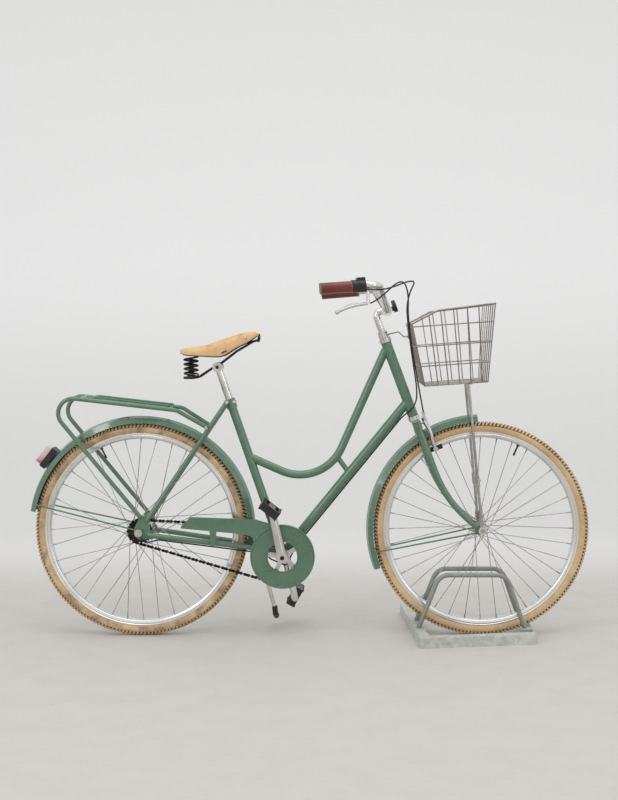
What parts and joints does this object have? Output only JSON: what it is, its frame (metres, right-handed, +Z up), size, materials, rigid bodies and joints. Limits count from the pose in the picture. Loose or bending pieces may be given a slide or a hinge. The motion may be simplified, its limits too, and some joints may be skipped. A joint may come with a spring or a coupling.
{
  "type": "step-through city bicycle",
  "caption": "Green step-through city bicycle with leather saddle, rear rack, chain guard, wire front basket and side stand, parked upright with its front wheel in a steel floor stand.",
  "frame": {"origin": "on the floor, under the middle of the bounding box", "axes": "+X forward, +Y to the rider's left, +Z up"},
  "size_m": [1.8333, 0.6172, 1.1644],
  "materials": {
    "frame_paint": "green gloss enamel, worn",
    "tyre_tan": "tan rubber with a block tread",
    "rim_silver": "satin",
    "bright_steel": "bright wire",
    "chrome": "polished, slightly dull",
    "alloy": "satin",
    "dark_steel": "oiled black",
    "black_plastic": "moulded",
    "black_rubber": "matt",
    "lens": "clear over red",
    "saddle_leather": "smooth tan hide",
    "grip_brown": "red-brown, ribbed",
    "galvanised": "zinc coated, dull"
  },
  "bodies": {
    "front_end": {"fork": "frame_paint", "stem": "chrome", "handlebar": "chrome", "grips": "grip_brown", "gear_shifter": "black_plastic", "brake_lever": "alloy", "brake_caliper": "alloy", "brake_pads": "black_rubber", "front_mudguard": "frame_paint", "front_mudguard_stays": "frame_paint", "basket": "bright_steel", "basket_supports": "bright_steel", "basket_stay": "bright_steel", "front_reflector": "black_plastic", "front_axle": "bright_steel", "stand_hoops": "galvanised", "stand_base": "galvanised", "brake_cable": "black_rubber", "gear_cable_upper": "black_rubber"},
    "front_wheel": {"front_tyre": "tyre_tan", "front_rim": "rim_silver", "front_spokes": "bright_steel", "front_hub": "chrome"},
    "frame": {"head_tube": "frame_paint", "headset_cups": "chrome", "top_tube": "frame_paint", "down_tube": "frame_paint", "tube_bridge": "frame_paint", "seat_tube": "frame_paint", "bottom_bracket_shell": "frame_paint", "chain_stays": "frame_paint", "seat_stays": "frame_paint", "rear_dropouts": "frame_paint", "rear_axle": "chrome", "seat_post": "chrome", "saddle_frame": "dark_steel", "saddle_springs": "dark_steel", "saddle_cover": "saddle_leather", "rear_rack_tubes": "frame_paint", "rear_rack_deck": "frame_paint", "rear_rack_clip": "frame_paint", "rear_mudguard": "frame_paint", "rear_mudguard_stays": "frame_paint", "rear_lamp_housing": "black_plastic", "rear_lamp_lens": "lens", "chain_guard": "frame_paint", "chain": "dark_steel", "kickstand_bracket": "dark_steel", "gear_cable_lower": "black_rubber"},
    "rear_wheel": {"rear_tyre": "tyre_tan", "rear_rim": "rim_silver", "rear_spokes": "bright_steel", "rear_hub": "chrome", "rear_cog": "dark_steel"},
    "crankset": {"cranks": "alloy", "chainring": "alloy"},
    "pedal_right": {"pedal_right": "black_plastic"},
    "pedal_left": {"pedal_left": "black_plastic"},
    "kickstand": {"kickstand_leg": "alloy", "kickstand_foot": "black_rubber"}
  },
  "joints": [
    {"name": "front_wheel_spin", "type": "hinge", "parent": "front_end", "child": "front_wheel", "pos_m": [0.56565, 0, 0.351], "axis": [0, 1, 0], "continuous": true},
    {"name": "steering", "type": "hinge", "parent": "front_end", "child": "frame", "pos_m": [0.34565, 0, 0.721], "axis": [-0.3447, 0, 0.9387], "range_deg": [-60, 60]},
    {"name": "rear_wheel_spin", "type": "hinge", "parent": "frame", "child": "rear_wheel", "pos_m": [-0.54735, 0, 0.351], "axis": [0, 1, 0], "continuous": true},
    {"name": "crank_spin", "type": "hinge", "parent": "frame", "child": "crankset", "pos_m": [-0.08235, 0, 0.27], "axis": [0, 1, 0], "continuous": true},
    {"name": "pedal_right_spin", "type": "hinge", "parent": "crankset", "child": "pedal_right", "pos_m": [-0.11711, -0.136, 0.43641], "axis": [0, 1, 0], "continuous": true},
    {"name": "pedal_left_spin", "type": "hinge", "parent": "crankset", "child": "pedal_left", "pos_m": [-0.04758, 0.136, 0.10359], "axis": [0, 1, 0], "continuous": true},
    {"name": "kickstand_fold", "type": "hinge", "parent": "frame", "child": "kickstand", "pos_m": [-0.16235, 0.044, 0.262], "axis": [0, 1, 0], "range_deg": [0, 103]}
  ]
}
